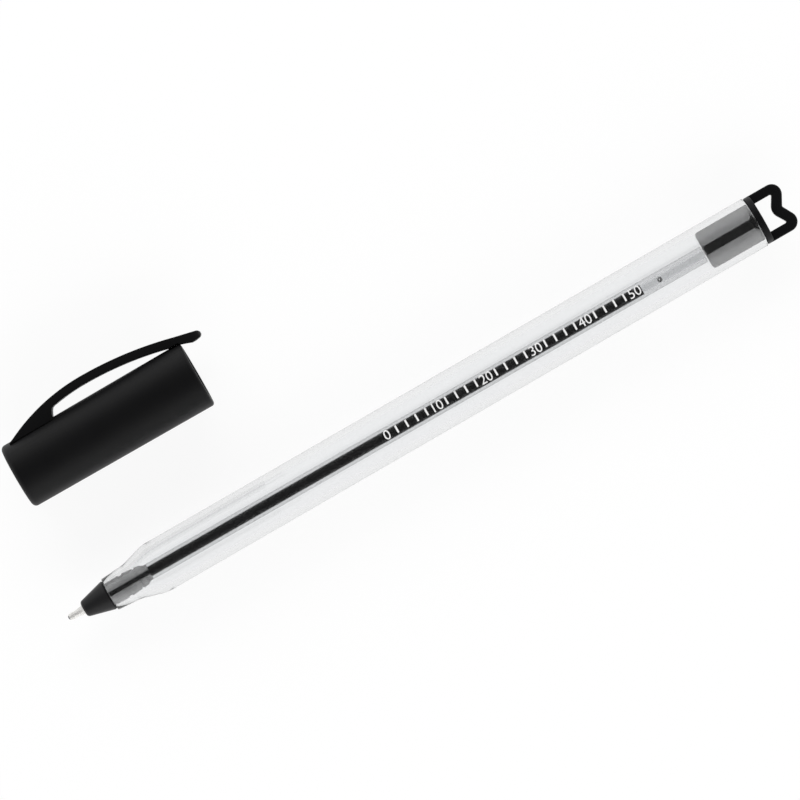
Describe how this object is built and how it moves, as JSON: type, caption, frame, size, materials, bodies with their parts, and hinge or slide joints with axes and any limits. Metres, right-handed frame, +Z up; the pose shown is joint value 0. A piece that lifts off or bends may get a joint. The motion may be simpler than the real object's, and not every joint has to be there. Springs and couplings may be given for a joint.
{
  "type": "ballpoint pen",
  "caption": "Clear stick ballpoint pen with a hanging loop, lying beside its taken-off clip cap; refill, end plug and cap pull off, the clip flexes.",
  "frame": {"origin": "under the middle of the whole, on the surface that the pen and its cap lie on", "axes": "+X along the pen from its writing point to its hanging loop, +Y from the pen to its cap, +Z up"},
  "size_m": [0.146, 0.0404, 0.0125],
  "materials": {
    "clear_plastic": "clear polystyrene, polished",
    "ball_metal": "polished carbide",
    "point_metal": "turned nickel silver",
    "black_plastic": "black, moulded, half gloss",
    "smoky_plastic": "smoky translucent, smooth",
    "tube_plastic": "milky translucent polypropylene",
    "black_ink": "wet black paste",
    "smoky_black_plastic": "smoky black, grey where thin, smooth",
    "cap_plastic": "black, moulded, satin"
  },
  "bodies": {
    "barrel": {"barrel": "clear_plastic"},
    "refill": {"nose_cone": "black_plastic", "tip_holder": "smoky_plastic", "point_housing": "point_metal", "ink_tube": "tube_plastic", "ink_column": "black_ink"},
    "ball": {"ball": "ball_metal"},
    "end_plug": {"end_plug": "smoky_black_plastic"},
    "cap": {"cap_shell": "cap_plastic"},
    "clip": {"cap_clip": "cap_plastic"}
  },
  "joints": [
    {"name": "refill_pull", "type": "slide", "parent": "barrel", "child": "refill", "axis": [-1, 0, 0], "range_m": [0, 0.125]},
    {"name": "ball_roll", "type": "hinge", "parent": "refill", "child": "ball", "pos_m": [-0.0725, -0.0155, 0.00474], "axis": [0, 1, 0], "continuous": true},
    {"name": "plug_pull", "type": "slide", "parent": "barrel", "child": "end_plug", "axis": [1, 0, 0], "range_m": [0, 0.015]},
    {"name": "cap_travel", "type": "slide", "parent": "barrel", "child": "cap", "axis": [-0.9894, -0.1455, 0], "range_m": [0, 0.17804]},
    {"name": "clip_flex", "type": "hinge", "parent": "cap", "child": "clip", "pos_m": [-0.05585, 0.01974, 0.00624], "axis": [0, 0, 1], "range_deg": [0, 4], "stiffness_Nm_per_rad": 0.5}
  ]
}
